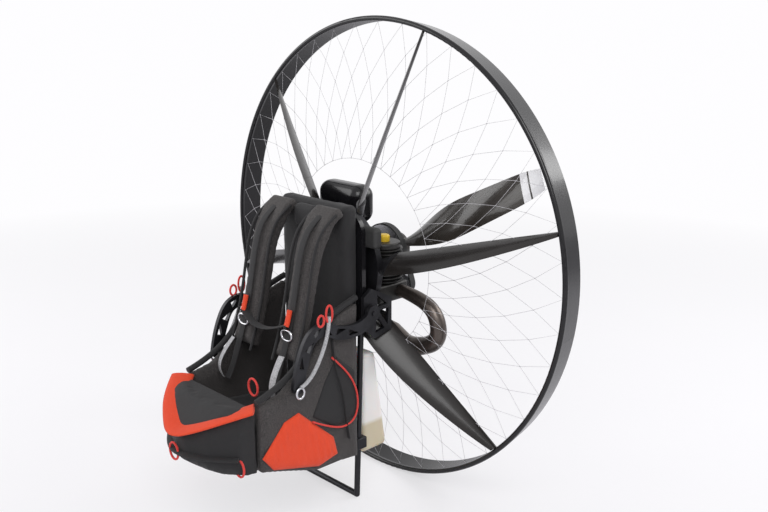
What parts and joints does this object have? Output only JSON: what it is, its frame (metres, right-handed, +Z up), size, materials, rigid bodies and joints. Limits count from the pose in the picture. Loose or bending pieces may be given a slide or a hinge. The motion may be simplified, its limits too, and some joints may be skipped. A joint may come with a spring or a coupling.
{
  "type": "paramotor",
  "caption": "Back-carried powered-flight unit with a ducted hoop on leaf-shaped spokes, a rear propeller, an engine, a fuel tank, a parking stand and a seated harness.",
  "frame": {"origin": "on the floor, under the middle of the overall box", "axes": "+X is the pilot's left, -Y is the flight direction, +Z is up"},
  "size_m": [1.42, 0.8491, 1.42],
  "materials": {
    "carbon_black": "gloss",
    "propeller_carbon": "gloss",
    "black_anodised": "satin",
    "tank_white": "satin",
    "cap_yellow": "satin",
    "rubber_black": "matte",
    "exhaust_steel": "satin",
    "engine_black": "satin",
    "machined_aluminium": "satin",
    "fabric_red": "woven",
    "fabric_black": "woven"
  },
  "bodies": {
    "root": {"airbox": "carbon_black", "back_plate": "carbon_black", "control_box": "rubber_black", "crankcase": "engine_black", "cross_beam": "black_anodised", "cylinder_head": "engine_black", "drive_belt": "rubber_black", "engine_plate": "carbon_black", "exhaust_bend": "exhaust_steel", "exhaust_silencer": "exhaust_steel", "finned_cylinder": "engine_black", "fuel_tank": "tank_white", "harness_back": "fabric_black", "harness_side_left": "fabric_black", "harness_side_right": "fabric_black", "hoop_lower_left": "carbon_black", "hoop_lower_right": "carbon_black", "hoop_upper_left": "carbon_black", "hoop_upper_right": "carbon_black", "hub_ring": "black_anodised", "intake_duct": "rubber_black", "neck_pad": "fabric_black", "reduction_bracket": "engine_black", "seat_front": "fabric_red", "seat_pad": "fabric_black", "shoulder_strap_left": "fabric_black", "shoulder_strap_right": "fabric_black", "side_plate_left": "black_anodised", "side_plate_right": "black_anodised", "spark_plug_cap": "cap_yellow", "spoke_bottom": "carbon_black", "spoke_left": "carbon_black", "spoke_lower_left": "carbon_black", "spoke_lower_right": "carbon_black", "spoke_top_left": "carbon_black", "spoke_top_right": "carbon_black", "stand_clamp_left": "black_anodised", "stand_clamp_right": "black_anodised", "stand_frame": "black_anodised", "starter_cover": "engine_black", "tank_bracket": "black_anodised"},
    "propeller_body": {"propeller": "propeller_carbon", "prop_flange": "machined_aluminium", "prop_pulley": "machined_aluminium"},
    "crank": {"crank_pulley": "machined_aluminium"},
    "arm_left": {"swing_arm_left": "black_anodised"},
    "arm_right": {"swing_arm_right": "black_anodised"}
  },
  "joints": [
    {"name": "prop_spin", "type": "hinge", "parent": "root", "child": "propeller_body", "pos_m": [0, 0.3975, 0.71], "axis": [0, 1, 0], "continuous": true},
    {"name": "crank_spin", "type": "hinge", "parent": "root", "child": "crank", "pos_m": [0.086, 0.3495, 0.622], "axis": [0, 1, 0], "continuous": true},
    {"name": "arm_left_swing", "type": "hinge", "parent": "root", "child": "arm_left", "pos_m": [0.19, 0.1115, 0.6], "axis": [-1, 0, 0], "range_deg": [0, 30]},
    {"name": "arm_right_swing", "type": "hinge", "parent": "root", "child": "arm_right", "pos_m": [-0.19, 0.1115, 0.6], "axis": [-1, 0, 0], "range_deg": [0, 30]}
  ],
  "couplings": [
    {"joint": "crank_spin", "follows": "prop_spin", "ratio": 2.6667}
  ]
}
